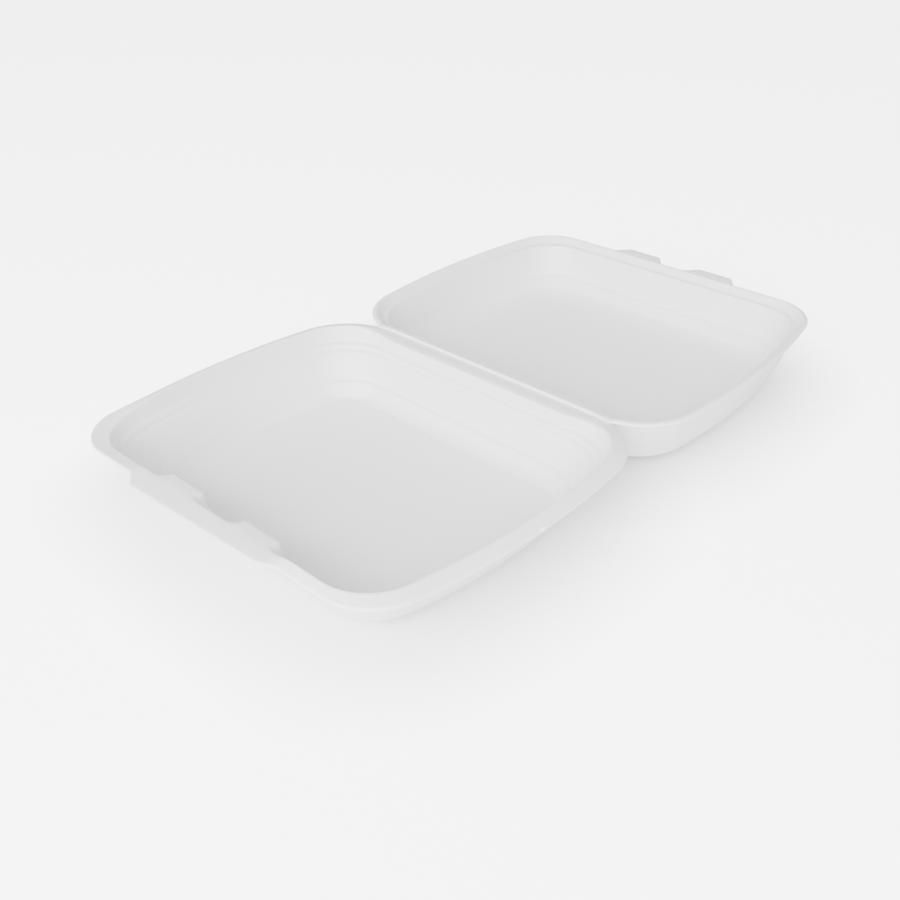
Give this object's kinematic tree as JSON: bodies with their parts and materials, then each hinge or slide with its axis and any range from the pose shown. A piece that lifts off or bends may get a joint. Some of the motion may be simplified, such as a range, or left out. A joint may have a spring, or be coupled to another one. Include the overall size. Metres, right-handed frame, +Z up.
{
  "type": "foam hinged food container",
  "caption": "White foam clamshell food box lying open, with a shallow base tray, a matching lid joined by a pressed fold line, a wide lock flap and small lock tabs",
  "frame": {"origin": "on the table, at the middle of the base tray's flat underside", "axes": "X along the fold line, Y from the base tray's flap to the fold and the lid, Z up"},
  "size_m": [0.2532, 0.4191, 0.0436],
  "materials": {
    "base_foam": "smooth pressed skin of white expanded foam",
    "lid_foam": "smooth pressed skin of white expanded foam"
  },
  "bodies": {
    "base": {"base_tray": "base_foam"},
    "lid": {"lid_tray": "lid_foam"}
  },
  "joints": [
    {"name": "lid_fold", "type": "hinge", "parent": "base", "child": "lid", "pos_m": [0, 0.10015, 0.03865], "axis": [1, 0, 0], "range_deg": [-1.4, 178.6]}
  ]
}
